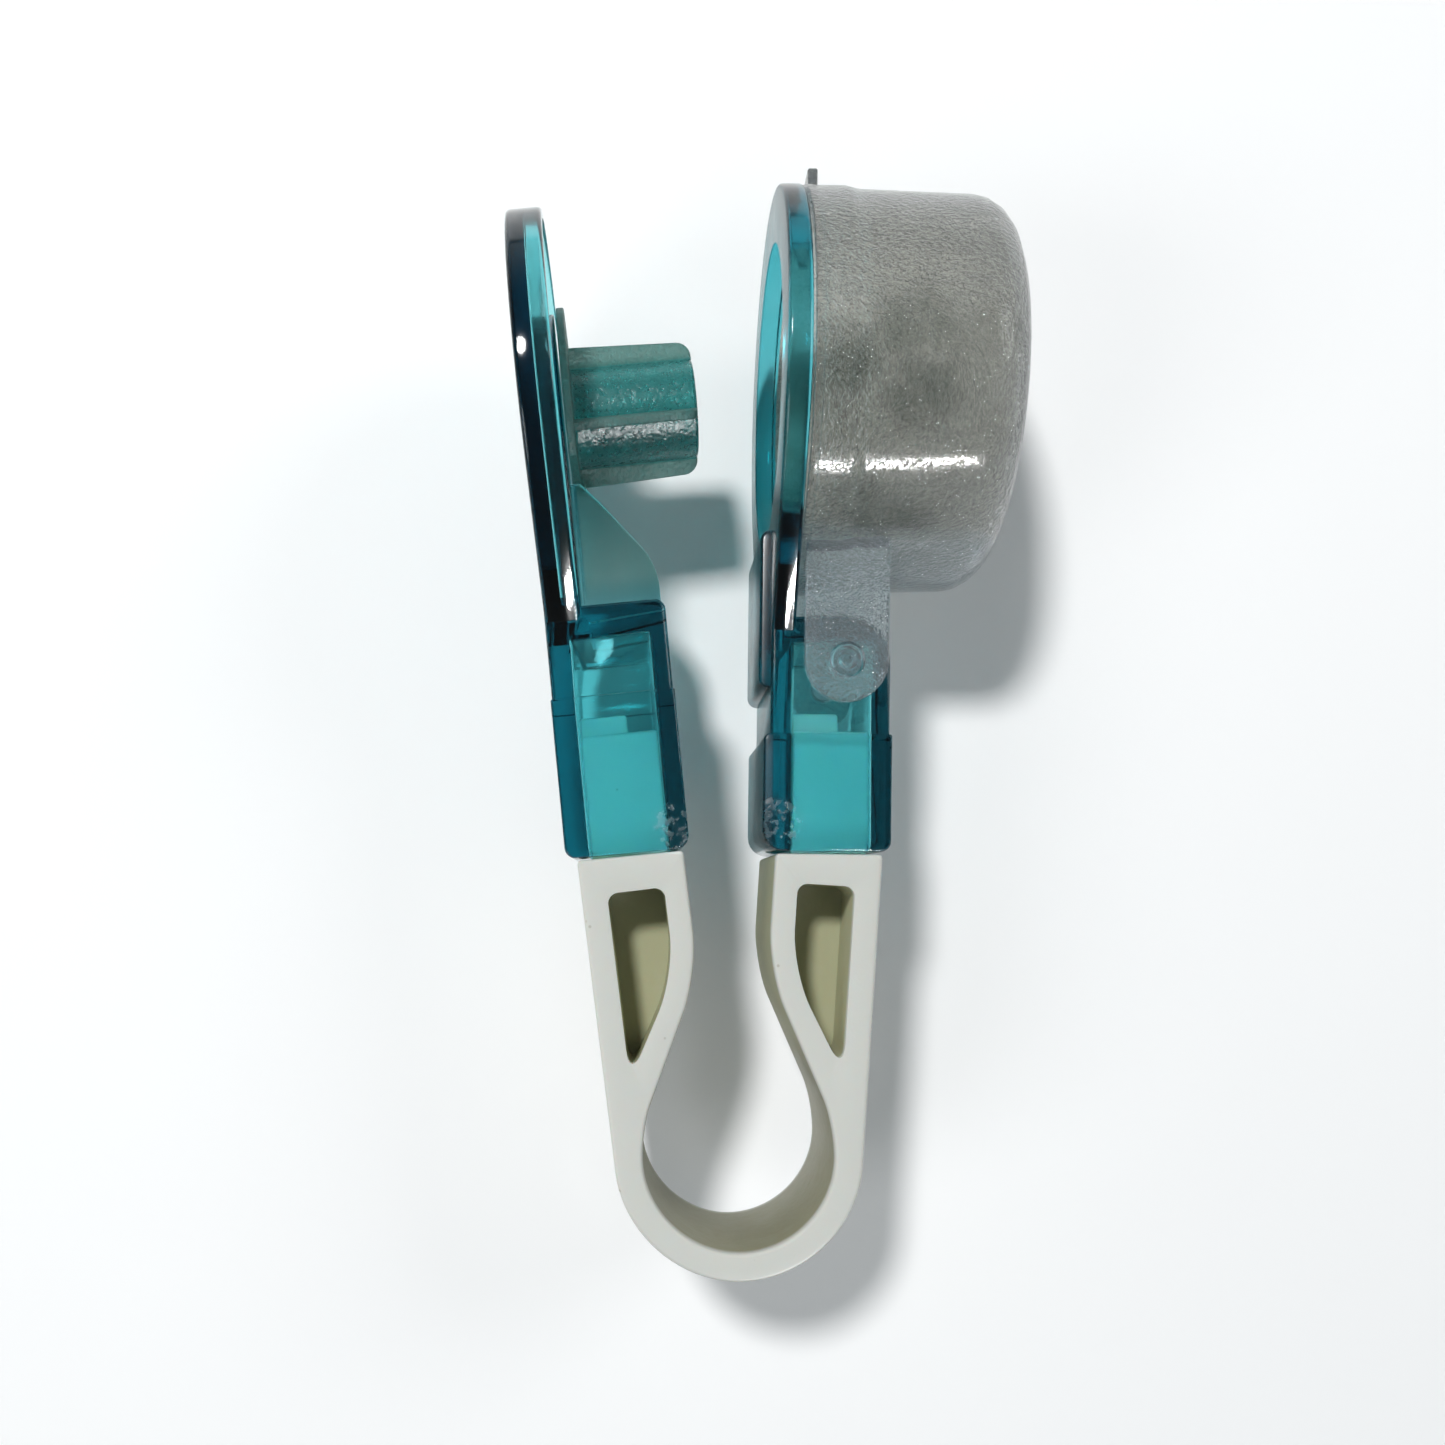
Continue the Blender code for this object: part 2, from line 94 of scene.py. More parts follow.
# Numbers that the pieces share, in millimetres and degrees. tuck keeps a hidden end inside the
# solid that it is joined to, past takes a cutter beyond a face, apart keeps two faces out of one
# plane, gap is the play between two pieces, and paddle sets pad and plate in from their block.
shared = {"tuck": 1.0, "past": 1.0, "apart": 0.1, "gap": 0.3, "paddle": (0.05, 0.2),
          "merge": 0.001, "weld": 0.002, "corner": 35, "sharp": 38}


def cornerBox(xLow, xHigh, yLow, yHigh, radius=0.0):
    corners = (xLow, yLow), (xHigh, yLow), (xHigh, yHigh), (xLow, yHigh)
    return [(x, y, radius) for x, y in corners]


def roundCorner(mesh, vert, radius, segments):
    # an arc of that radius touches both edges at radius / tan(half the corner)
    ends = [edge.other_vert(vert).co - vert.co for edge in vert.link_edges]
    reach = radius / tan(ends[0].angle(ends[1]) / 2)
    bmesh.ops.bevel(mesh, geom=[vert], offset=reach, offset_type="OFFSET", segments=segments,
                    profile=0.5, affect="VERTICES", clamp_overlap=False, material=-1)


def softenEdges(mesh, width):
    if width <= 0:
        return
    least = radians(shared["corner"])
    edges = [edge for edge in mesh.edges if edge.is_manifold and edge.calc_face_angle() > least]
    bmesh.ops.bevel(mesh, geom=edges, offset=width, offset_type="OFFSET", segments=3,
                    profile=0.5, affect="EDGES", clamp_overlap=True, material=-1)


def newPiece(name, mesh):
    bmesh.ops.recalc_face_normals(mesh, faces=mesh.faces)
    data = bpy.data.meshes.new(name)
    mesh.to_mesh(data)
    mesh.free()
    piece = bpy.data.objects.new(name, data)
    bpy.context.scene.collection.objects.link(piece)
    return piece


def slab(name, corners, low, high, place=Matrix(), soft=0.0, arcSteps=6):
    # corners are (x, y, radius); the face is drawn flat and extruded from low to high
    mesh = bmesh.new()
    verts = [mesh.verts.new((x, y, low)) for x, y, _ in corners]
    mesh.faces.new(verts)
    for vert, (_, _, radius) in zip(verts, corners):
        if radius > 0:
            roundCorner(mesh, vert, radius, arcSteps)
    bmesh.ops.remove_doubles(mesh, verts=mesh.verts, dist=shared["merge"])
    grown = bmesh.ops.extrude_face_region(mesh, geom=list(mesh.faces))
    moved = [item for item in grown["geom"] if isinstance(item, bmesh.types.BMVert)]
    bmesh.ops.translate(mesh, vec=(0, 0, high - low), verts=moved)
    bmesh.ops.recalc_face_normals(mesh, faces=mesh.faces)
    softenEdges(mesh, soft)
    bmesh.ops.transform(mesh, matrix=place, verts=mesh.verts)
    return newPiece(name, mesh)


def turned(name, profile, place=Matrix(), steps=96):
    # profile is (along, radius, corner radius), spun about X
    mesh = bmesh.new()
    verts = [mesh.verts.new((along, radius, 0)) for along, radius, _ in profile]
    for first, second in zip(verts, verts[1:]):
        mesh.edges.new((first, second))
    for vert, (_, _, corner) in zip(verts, profile):
        if corner > 0:
            roundCorner(mesh, vert, corner, 5)
    bmesh.ops.spin(mesh, geom=list(mesh.verts) + list(mesh.edges), cent=(0, 0, 0), axis=(1, 0, 0),
                   angle=2 * pi, steps=steps, use_merge=True)
    bmesh.ops.remove_doubles(mesh, verts=mesh.verts, dist=shared["merge"])
    bmesh.ops.recalc_face_normals(mesh, faces=mesh.faces)
    bmesh.ops.transform(mesh, matrix=place, verts=mesh.verts)
    return newPiece(name, mesh)


def drill(name, radius, low, high, place, steps=32):
    profile = [(low, 0, 0), (low, radius, 0), (high, radius, 0), (high, 0, 0)]
    return turned(name, profile, place, steps)


def paddle(centre, radius, foot, footHalf, steps=48):
    # a round pad on straight flanks: corners for a slab stood across X, as (y, z, radius)
    reach = centre - foot
    flare = asin(radius / (reach**2 + footHalf**2) ** 0.5) - atan2(footHalf, reach)
    angles = [-flare + (pi + 2 * flare) * step / steps for step in range(steps + 1)]
    disc = [(centre + radius * sin(a), radius * cos(a), 0) for a in angles]
    return [(foot, footHalf, 0)] + disc + [(foot, -footHalf, 0)], flare


def combine(piece, tools, operation):
    for tool in tools:
        modifier = piece.modifiers.new(tool.name, "BOOLEAN")
        modifier.operation = operation
        modifier.solver = "EXACT"
        modifier.object = tool
    bpy.context.view_layer.update()
    baked = piece.evaluated_get(bpy.context.evaluated_depsgraph_get())
    data = bpy.data.meshes.new_from_object(baked)
    piece.modifiers.clear()
    piece.data = data
    for tool in tools:
        bpy.data.objects.remove(tool, do_unlink=True)


def join(piece, *tools):
    combine(piece, tools, "UNION")


def cut(piece, *tools):
    combine(piece, tools, "DIFFERENCE")


def edgeSoftly(piece, width):
    modifier = piece.modifiers.new("soft edges", "BEVEL")
    modifier.width = width
    modifier.segments = 2
    modifier.limit_method = "ANGLE"
    modifier.angle_limit = radians(shared["sharp"])
    modifier.harden_normals = False
    modifier.use_clamp_overlap = True


def putInPlace(piece, material):
    # from millimetres round the bow to metres in the frame
    combine(piece, [], "UNION")
    mesh = bmesh.new()
    mesh.from_mesh(piece.data)
    bmesh.ops.remove_doubles(mesh, verts=mesh.verts, dist=shared["weld"])
    bmesh.ops.dissolve_degenerate(mesh, edges=mesh.edges, dist=shared["weld"])
    bmesh.ops.triangulate(mesh, faces=[face for face in mesh.faces if len(face.verts) > 4])
    bmesh.ops.recalc_face_normals(mesh, faces=mesh.faces)
    mesh.to_mesh(piece.data)
    mesh.free()
    piece.data.transform(Matrix.Scale(millimetre, 4) @ Matrix.Translation(layout["bow"]))
    piece.data.shade_smooth()
    piece.data.set_sharp_from_angle(angle=radians(shared["sharp"]))
    piece.data.materials.clear()
    piece.data.materials.append(material)


def feed(tree, slot, value):
    if isinstance(value, Socket):
        tree.links.new(value.output, slot)
    else:
        slot.default_value = value


class Socket:
    # wraps a shader output so that sums can be written as Python expressions
    def __init__(self, tree, output):
        self.tree = tree
        self.output = output

    def node(self, kind, settings=(), **inputs):
        # an input is named, or is in0, in1 and so on by its number
        made = self.tree.nodes.new(kind)
        for name, value in dict(settings).items():
            setattr(made, name, value)
        for name, value in inputs.items():
            numbered = name.startswith("in") and name[2:].isdigit()
            feed(self.tree, made.inputs[int(name[2:]) if numbered else name.replace("_", " ")], value)
        return made

    def maths(self, operation, *values):
        named = {f"in{index}": value for index, value in enumerate(values)}
        made = self.node("ShaderNodeMath", {"operation": operation}, **named)
        return Socket(self.tree, made.outputs[0])

    def largest(self, other):
        return self.maths("MAXIMUM", self, other)

    def root(self):
        return self.maths("SQRT", self)

    def __add__(self, other):
        return self.maths("ADD", self, other)

    def __radd__(self, other):
        return self.maths("ADD", other, self)

    def __sub__(self, other):
        return self.maths("SUBTRACT", self, other)

    def __rsub__(self, other):
        return self.maths("SUBTRACT", other, self)

    def __mul__(self, other):
        return self.maths("MULTIPLY", self, other)

    def __rmul__(self, other):
        return self.maths("MULTIPLY", other, self)

    def __abs__(self):
        return self.maths("ABSOLUTE", self)

    def ramp(self, low, high):
        # 0 at low, 1 at high, smooth between
        made = self.node("ShaderNodeMapRange", {"interpolation_type": "SMOOTHSTEP"},
                         Value=self, From_Min=low, From_Max=high)
        return Socket(self.tree, made.outputs["Result"])

    def tint(self, first, second):
        # the first colour at 0, the second at 1
        first, second = (end if isinstance(end, Socket) else (*end, 1) for end in (first, second))
        made = self.node("ShaderNodeMix", {"data_type": "RGBA"}, Factor=self, in6=first, in7=second)
        return Socket(self.tree, made.outputs[2])

    def parts(self):
        split = self.node("ShaderNodeSeparateXYZ", Vector=self)
        return [Socket(self.tree, output) for output in split.outputs]


class Finish:
    # one material: its shader, and the patterns that feed it
    def __init__(self, name, attribute=None):
        self.material = bpy.data.materials.new(name)
        self.material.use_nodes = True
        self.tree = self.material.node_tree
        self.shader = self.tree.nodes["Principled BSDF"]
        if attribute:
            stored = self.tree.nodes.new("ShaderNodeAttribute")
            stored.attribute_name = attribute
            self.base = Socket(self.tree, stored.outputs["Vector"])
        else:
            self.base = Socket(self.tree, self.tree.nodes.new("ShaderNodeTexCoord").outputs["Object"])

    def stretched(self, scale):
        made = self.base.node("ShaderNodeMapping", Vector=self.base, Scale=scale)
        return Socket(self.tree, made.outputs[0])

    def noise(self, scale, detail=3.0, vector=None):
        made = self.base.node("ShaderNodeTexNoise", Vector=vector or self.base, Scale=scale,
                              Detail=detail, Roughness=0.55)
        return Socket(self.tree, made.outputs["Fac"])

    def cells(self, scale, feature="DISTANCE_TO_EDGE"):
        made = self.base.node("ShaderNodeTexVoronoi", {"feature": feature},
                              Vector=self.base, Scale=scale)
        return Socket(self.tree, made.outputs["Distance"])

    def inPlace(self, place):
        # x, y and z in metres in a turned frame
        made = self.base.node("ShaderNodeMapping", {"vector_type": "TEXTURE"}, Vector=self.base,
                              Location=framePoint(place, (0, 0, 0)), Rotation=place.to_euler())
        return Socket(self.tree, made.outputs[0]).parts()

    def near(self, point, radius, fade):
        # 1 inside a ball, fading to 0 outside it
        made = self.base.node("ShaderNodeVectorMath", {"operation": "DISTANCE"},
                              in0=self.base, in1=point)
        return Socket(self.tree, made.outputs["Value"]).ramp(radius + fade, radius)

    def set(self, **values):
        for name, value in values.items():
            feed(self.tree, self.shader.inputs[name.replace("_", " ")], value)

    def bump(self, height, strength, distance):
        made = self.base.node("ShaderNodeBump", Height=height, Strength=strength, Distance=distance)
        self.tree.links.new(made.outputs[0], self.shader.inputs["Normal"])

    def absorb(self, colour, density):
        made = self.base.node("ShaderNodeVolumeAbsorption", Color=(*colour, 1), Density=density)
        self.tree.links.new(made.outputs[0], self.tree.nodes["Material Output"].inputs["Volume"])


def framePoint(place, point):
    return (place @ Vector(point) + layout["bow"]) * millimetre


# deep is painted shade, warm olive, down in the pockets; bow is darker painted shade inside the bow
nylonSet = {"face": (0.58, 0.59, 0.55), "deep": (0.42, 0.42, 0.27), "bow": (0.27, 0.26, 0.165),
            # tenon is a lighter copy of the face colour, painted light on the tenons inside the clear
            # sleeves
            "dirt": (0.30, 0.28, 0.22), "tenon": (0.86, 0.86, 0.84), "roughness": 0.42,
            "mouth": (-0.0152, -0.0158), "skin": (0.0132, 0.0136), "faceDepth": (0.0101, 0.0088),
            "bowEnds": (0.001, -0.001), "bowToLimb": (0.008, 0.015)}


def makeNylon():
    finish = Finish("whiteNylon", "restPlace")  # so that the pattern follows the spring as it bends
    _, frameY, frameZ = finish.base.parts()
    middle = layout["bow"].z * millimetre
    onLimbs = frameY.ramp(*nylonSet["mouth"])  # the tenons above the mouths stay white
    x, y, _ = finish.inPlace(Matrix())
    outside = (x * x + y * y).root().ramp(*nylonSet["skin"]) * y.ramp(*nylonSet["bowEnds"])
    for side, degrees in layout["limbLeans"].items():
        flank = side * cos(radians(degrees)) * x - sin(radians(degrees)) * y
        outside = outside.largest(flank.ramp(*nylonSet["skin"]))
    # 1 down in the pockets and inside the bow, where a warm olive painted shade goes
    depth = abs(frameZ - middle).ramp(*nylonSet["faceDepth"]) * onLimbs * (1 - 0.8 * outside)
    # the painted shade mask, a little uneven
    paintedShade = depth * (0.85 + 0.3 * finish.noise(260, 4))
    specks = finish.cells(420, "F1").ramp(0.10, 0.04) * finish.noise(90, 1).ramp(0.56, 0.62)
    # the tenons take the lighter tenon colour as painted light
    face = onLimbs.tint(nylonSet["tenon"], nylonSet["face"])
    # the painted shade colour: darkest inside the bow, warm olive in the pockets
    shadeColour = y.ramp(*nylonSet["bowToLimb"]).tint(nylonSet["bow"], nylonSet["deep"])
    finish.set(Base_Color=(specks * 0.5).tint(paintedShade.tint(face, shadeColour), nylonSet["dirt"]),
               Roughness=nylonSet["roughness"] + 0.12 * (finish.noise(700, 2) - 0.5),
               Subsurface_Weight=0.15, Subsurface_Scale=0.002)
    finish.bump(finish.noise(1500, 3) + 0.5 * finish.noise(300, 2), 0.25, 0.0001)
    return finish.material


# the scuffed colour is painted shade: a darker teal on the jaw face, which is also scuffed matt
tealSet = {"tint": (0.52, 0.91, 0.92), "deep": (0.03, 0.665, 0.725), "density": 270.0,
           "crazed": (0.60, 0.80, 0.80), "scuffedAndShaded": (0.06, 0.38, 0.42), "web": (0.62, 0.80, 0.74),
           "webHalf": (0.0012, 0.0009), "webFrom": (0.0044, 0.0050), "webFade": 0.0055,
           "patch": (0.0022, 0.0012), "ior": 1.5}


def makeTeal(name, place, patchAt, scuffedAndShadedBelow, webAbove):
    # clear and glossy, with a crazed patch where the snap of the sleeve was pressed home,
    # a scuffed jaw face with painted shade in its darker teal, and a matt web
    finish = Finish(name)
    x, y, z = finish.inPlace(place)
    # the jaw face: scuffed matt, and darkened with painted shade
    scuffedAndShaded = x.ramp(scuffedAndShadedBelow + 0.0002, scuffedAndShadedBelow) * (0.7 + 0.6 * finish.noise(200, 4))
    web = abs(z).ramp(*tealSet["webHalf"]) * x.ramp(*tealSet["webFrom"])
    web = web * y.ramp(webAbove, webAbove + tealSet["webFade"])
    matt = scuffedAndShaded.largest(web)
    waves = finish.noise(55, 2)
    patch = finish.near(framePoint(place, patchAt), *tealSet["patch"])
    crazed = patch * (0.6 * finish.noise(1300, 4) + 0.4 * finish.noise(400, 2)).ramp(0.50, 0.58)
    clear = crazed.tint(tealSet["tint"], tealSet["crazed"])
    # the jaw face takes the darker teal as painted shade
    wornAndShaded = web.tint(tealSet["scuffedAndShaded"], tealSet["web"])
    finish.set(Base_Color=matt.tint(clear, wornAndShaded), IOR=tealSet["ior"], Transmission_Weight=1.0,
               Roughness=0.05 + 0.03 * finish.noise(120, 3) + 0.5 * crazed + 0.18 * matt)
    finish.bump(waves * 0.6 + finish.noise(500, 2) * 0.05 + crazed * 0.5, 0.3, 0.0005)
    finish.absorb(tealSet["deep"], tealSet["density"])
    return finish.material


frostSet = {"tint": (0.02, 0.42, 0.42), "pale": (0.20, 0.36, 0.32), "deep": (0.10, 0.78, 0.78),
            "density": 110.0, "core": (0.0054, 0.0059), "clarity": 0.70, "ior": 1.5}


def makeFrost():
    # the fins outside the core are sparkling and pale, the core is smooth and deep
    finish = Finish("frostedTeal")
    _, across, up = finish.inPlace(leftPlace @ Matrix.Translation(layout["plungerSeat"]))
    fins = (across * across + up * up).root().ramp(*frostSet["core"])
    grain = finish.noise(1500, 3)
    colour = (fins * (0.6 + 0.5 * grain)).tint(frostSet["tint"], frostSet["pale"])
    finish.set(Base_Color=colour, IOR=frostSet["ior"], Transmission_Weight=frostSet["clarity"],
               Roughness=0.16 + fins * (0.20 + 0.3 * grain))
    finish.bump((0.25 + fins) * (grain + 0.5 * finish.cells(1500)), 0.8, 0.0003)
    finish.absorb(frostSet["deep"], frostSet["density"])
    return finish.material


clearSet = {"tint": (0.88, 0.85, 0.78), "dull": (0.70, 0.68, 0.61), "lug": (0.94, 0.97, 0.96),
            # the colour for darker patches round five listed points
            "smudge": (0.42, 0.43, 0.38), "darkPatchSpread": (1.0, 6.5),  # whole, and fade, in millimetres
            "smudges": ((17.3, 88.0, 22.4), (17.4, 82.0, 21.4), (10.8, 84.1, 22.0), (12.1, 70.7, 13.2),
                        (17.2, 69.6, 11.5)),
            "deep": (0.50, 0.60, 0.70), "density": 190.0, "clarity": 0.92, "ior": 1.49,
            "aboveLug": (0.0088, 0.0095)}


def makeClear(name, haze):
    # clear, hazed in streaks by the tablets' dust, and darker in patches round five listed points
    finish = Finish(name)
    streaks = finish.noise(26, 5, finish.stretched((0.7, 5.0, 5.0)))
    smears = (streaks * 0.6 + finish.noise(60, 3) * 0.4).ramp(0.42, 0.62)
    hazed = (smears * haze).tint(clearSet["tint"], clearSet["dull"])
    # darker patches round five listed points
    whole, fade = (size * millimetre for size in clearSet["darkPatchSpread"])
    spots = [finish.near(framePoint(Matrix(), point), whole, fade) for point in clearSet["smudges"]]
    darkPatchMask = spots[0]
    for spot in spots[1:]:
        darkPatchMask = darkPatchMask.largest(spot)
    darkPatchMask = darkPatchMask * haze * finish.noise(130, 3).ramp(0.25, 0.62)
    _, y, _ = finish.inPlace(rightPlace)
    milky = y.ramp(*clearSet["aboveLug"]) * haze
    finish.set(Base_Color=milky.tint(clearSet["lug"], darkPatchMask.tint(hazed, clearSet["smudge"])),
               Roughness=0.04 + milky * (0.03 + 0.05 * smears), IOR=clearSet["ior"],
               Transmission_Weight=clearSet["clarity"])
    sparkling = finish.noise(2200, 2).ramp(0.46, 0.60)
    finish.bump(streaks * 0.2 + sparkling * 0.5, 0.60 * haze, 0.00035)
    finish.absorb(clearSet["deep"], clearSet["density"])
    return finish.material


whiteNylon = makeNylon()
leftTeal = makeTeal("tealPlungerArm", leftPlace, patchAt=(12.6, -10.5, 9.5),
                    scuffedAndShadedBelow=-0.001, webAbove=0.0155)
rightTeal = makeTeal("tealRingArm", rightPlace, patchAt=(1.0, -23.5, 9.5),
                     scuffedAndShadedBelow=0.0001, webAbove=0.05)
frostedTeal = makeFrost()
cupClear = makeClear("cupClear", haze=1.0)
pinClear = makeClear("pinClear", haze=0.15)
print("materials made")

springSet = {"bow": 14.0, "eye": 10.8, "flank": 16.0, "slope": 27.0, "rise": 9.6, "knee": 20.0,
             "half": 10.5, "wall": 2.65, "pocketSlope": 30.0, "pocketTop": 31.2, "pocketTip": 0.9,
             "pocketCorner": 1.2, "pocketWall": 2.9, "shoulder": 0.5, "web": 0.9, "edge": 0.45,
             "soft": 0.22}
tenonSet = {"depth": 8.0, "length": 13.7, "root": 2.5, "tongue": (5.4, 2.2), "inset": 1.5,
            "corner": 0.4, "edge": 0.3, "tongueEdge": 0.25}
sleeveSet = {"past": 3.0, "cavityHalf": 8.3, "cavityCorner": 0.5, "cavityEdge": 0.4,
             "collarHalf": 10.8, "collarEdge": 0.5}
sleeves = {
    -1: {"place": leftPlace, "mouth": -13.0, "cavity": (2.5, 11.7), "cavityTop": 12.0,
         "collar": (-0.15, 13.85), "collarTop": 5.0, "collarCorners": (1.2, 1.4, 0.3, 0.3)},
    1: {"place": rightPlace, "mouth": -26.6, "cavity": (2.25, 11.5), "cavityTop": -2.8,
        "collar": (-0.85, 13.55), "collarTop": -13.4, "collarCorners": (2.4, 1.2, 0.3, 0.8)},
}


def collarOf(sleeve):
    flat = cornerBox(*sleeve["collar"], sleeve["mouth"], sleeve["collarTop"])
    corners = [(x, y, radius) for (x, y, _), radius in zip(flat, sleeve["collarCorners"])]
    half = sleeveSet["collarHalf"]
    return slab("collar", corners, -half, half, sleeve["place"], sleeveSet["collarEdge"])


def hollowOf(sleeve):
    corners = cornerBox(*sleeve["cavity"], sleeve["mouth"] - sleeveSet["past"], sleeve["cavityTop"],
                        sleeveSet["cavityCorner"])
    half = sleeveSet["cavityHalf"]
    return slab("hollow", corners, -half, half, sleeve["place"], sleeveSet["cavityEdge"])


def leaned(side, x, y):
    lean = radians(layout["limbLeans"][side])
    return side * (x * cos(lean) + y * sin(lean)), y * cos(lean) - x * sin(lean)


def crossing(point, way, other, otherWay):
    across = way[0] * otherWay[1] - way[1] * otherWay[0]
    gap = (other[0] - point[0], other[1] - point[1])
    along = (gap[0] * otherWay[1] - gap[1] * otherWay[0]) / across
    return point[0] + along * way[0], point[1] + along * way[1]


def limbCorners(side):
    # outline corners of one limb, from the bottom of the bow up its outside, then down its inside
    lean = radians(layout["limbLeans"][side])
    upright = (side * sin(lean), cos(lean))
    slope = radians(springSet["slope"])
    outerFoot = crossing((0, -springSet["bow"]), (1, 0), leaned(side, springSet["bow"], 0), upright)
    innerFoot = crossing((0, -springSet["eye"]), (1, 0), leaned(side, springSet["eye"], 0), upright)
    flankX = springSet["eye"]
    flankY = springSet["flank"] * tan(slope / 2)
    bends = springSet["flank"] + springSet["knee"]
    kneeX = flankX - bends * (1 - cos(slope)) - springSet["rise"] * tan(slope)
    kneeY = flankY + (flankX - kneeX) / tan(slope)
    mouth = sleeves[side]["place"]
    shoulder = mouth @ Vector((0, sleeves[side]["mouth"] - shared["gap"], 0))
    along = mouth.to_3x3() @ Vector((1, 0, 0))
    outerTop = crossing(outerFoot, upright, shoulder, along)
    innerTop = crossing(leaned(side, kneeX, kneeY), upright, shoulder, along)
    corners = [(*outerFoot, springSet["bow"]), (*outerTop, springSet["shoulder"]),
               (*innerTop, springSet["shoulder"]), (*leaned(side, kneeX, kneeY), springSet["knee"]),
               (*leaned(side, flankX, flankY), springSet["flank"]), (*innerFoot, springSet["eye"])]
    return corners, kneeX


def pocketCorners(side, kneeX):
    slope = radians(springSet["pocketSlope"])
    outer = springSet["bow"] - springSet["pocketWall"]
    inner = kneeX + springSet["wall"]
    bends = springSet["flank"] + springSet["knee"]
    kneeY = bends * sin(radians(springSet["slope"])) + springSet["rise"]
    radius = springSet["knee"] - springSet["wall"]
    bend = kneeY - radius * tan(slope / 2)
    tip = bend - (outer - inner) / tan(slope)
    top, corner = springSet["pocketTop"], springSet["pocketCorner"]
    points = [(outer, tip, springSet["pocketTip"]), (outer, top, corner), (inner, top, corner),
              (inner, bend, radius)]
    return [(*leaned(side, x, y), rounding) for x, y, rounding in points]


def makeSpring():
    right, kneeX = limbCorners(1)
    left, _ = limbCorners(-1)
    half = springSet["half"]
    spring = slab("spring", right + left[::-1], -half, half, soft=springSet["edge"], arcSteps=20)
    for side, sleeve in sleeves.items():
        low, high = sleeve["cavity"][0] + shared["gap"], sleeve["cavity"][1] - shared["gap"]
        place, mouth, corner = sleeve["place"], sleeve["mouth"], tenonSet["corner"]
        top = mouth + tenonSet["length"]
        depth, (width, height) = tenonSet["depth"], tenonSet["tongue"]
        shaft = cornerBox(low, high, mouth - tenonSet["root"], top, corner)
        tenon = slab("tenon", shaft, -depth, depth, place, tenonSet["edge"])
        depth -= tenonSet["inset"]
        tip = cornerBox(low, low + width, top - shared["tuck"], top + height, corner)
        join(spring, tenon, slab("tongue", tip, -depth, depth, place, tenonSet["tongueEdge"]))
        pocket = pocketCorners(side, kneeX)
        reach, web = half + shared["past"], springSet["web"]
        upper = slab("upperPocket", pocket, web, reach, arcSteps=8)
        cut(spring, upper, slab("lowerPocket", pocket, -reach, -web, arcSteps=8))
    edgeSoftly(spring, springSet["soft"])
    putInPlace(spring, whiteNylon)
    restPlace = spring.data.attributes.new("restPlace", "FLOAT_VECTOR", "POINT")
    for vert, row in zip(spring.data.vertices, restPlace.data):
        row.vector = vert.co
    return spring


spring = makeSpring()
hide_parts("spring_left", "spring_right")
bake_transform(spring)
print("spring made")

padSet = {"centre": 40.0, "radius": 22.7, "foot": 13.2, "floor": 2.05, "rim": 1.2, "trayFoot": 16.2,
          "boss": 11.5, "bossTop": 4.2, "neck": 8.0, "neckDown": 1.5, "rib": 0.65, "webDown": 2.0,
          "webBend": (21.5, 8.0), "webRun": ((7.6, 29.3, 9.0), (5.3, 31.9, 0.6)), "webTop": 31.9,
          "edges": {"pad": 0.5, "tray": 0.3, "boss": 0.25, "web": 0.2}, "soft": 0.14}
leftBlock = {"width": 13.7, "half": 10.4, "top": 15.2, "corner": 1.2}


def makePlungerArm():
    sleeve, edges, upright = sleeves[-1], padSet["edges"], leftPlace @ alongX
    width, half, top = leftBlock["width"], leftBlock["half"], leftBlock["top"]
    foot = sleeve["mouth"] + shared["tuck"]
    block = [(0, foot, 0), (width, foot, 0), (width, top, leftBlock["corner"]), (0, top, 0)]
    arm = slab("plungerArm", block, -half, half, leftPlace, edges["pad"])
    face, footHalf = shared["paddle"][0], half - shared["paddle"][1]
    outline, flare = paddle(padSet["centre"], padSet["radius"], padSet["foot"], footHalf)
    join(arm, slab("pad", outline, face, padSet["bossTop"] - shared["apart"], upright, edges["pad"]))
    widened = footHalf + (padSet["trayFoot"] - padSet["foot"]) * tan(flare)
    tray, _ = paddle(padSet["centre"], padSet["radius"] - padSet["rim"], padSet["trayFoot"],
                     widened - padSet["rim"] / cos(flare))
    above = padSet["bossTop"] + shared["past"]
    cut(arm, slab("tray", tray, padSet["floor"], above, upright, edges["tray"]))
    boss, _ = paddle(padSet["centre"], padSet["boss"], top - padSet["neckDown"], padSet["neck"])
    inner, outer, webFoot = shared["tuck"], width - shared["apart"], top - padSet["webDown"]
    web = [(inner, webFoot, 0), (outer, webFoot, 0), (outer, *padSet["webBend"]), *padSet["webRun"],
           (inner, padSet["webTop"], 0)]
    bossFoot = padSet["floor"] - shared["tuck"]
    join(arm, slab("boss", boss, bossFoot, padSet["bossTop"], upright, edges["boss"]),
         slab("web", web, -padSet["rib"], padSet["rib"], leftPlace, edges["web"], arcSteps=8))
    join(arm, collarOf(sleeve))
    cut(arm, hollowOf(sleeve))
    edgeSoftly(arm, padSet["soft"])
    putInPlace(arm, leftTeal)
    return arm


plungerArm = makePlungerArm()
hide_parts("plunger_arm")
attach(plungerArm, "plunger_side")
print("plunger arm made")

plungerSet = {"flange": 12.4, "seat": (4.5, 5.4), "flat": 32.2, "tip": 19.8, "core": 5.6, "bore": 3.8,
              "boreEnd": 7.0, "fin": 0.55, "finRoot": 8.0, "finTip": 7.4, "corner": 1.7, "turn": 24.5,
              "fins": 4, "finSunk": (0.3, 0.05), "finEdge": 0.25, "flatOver": 0.01, "soft": 0.12}


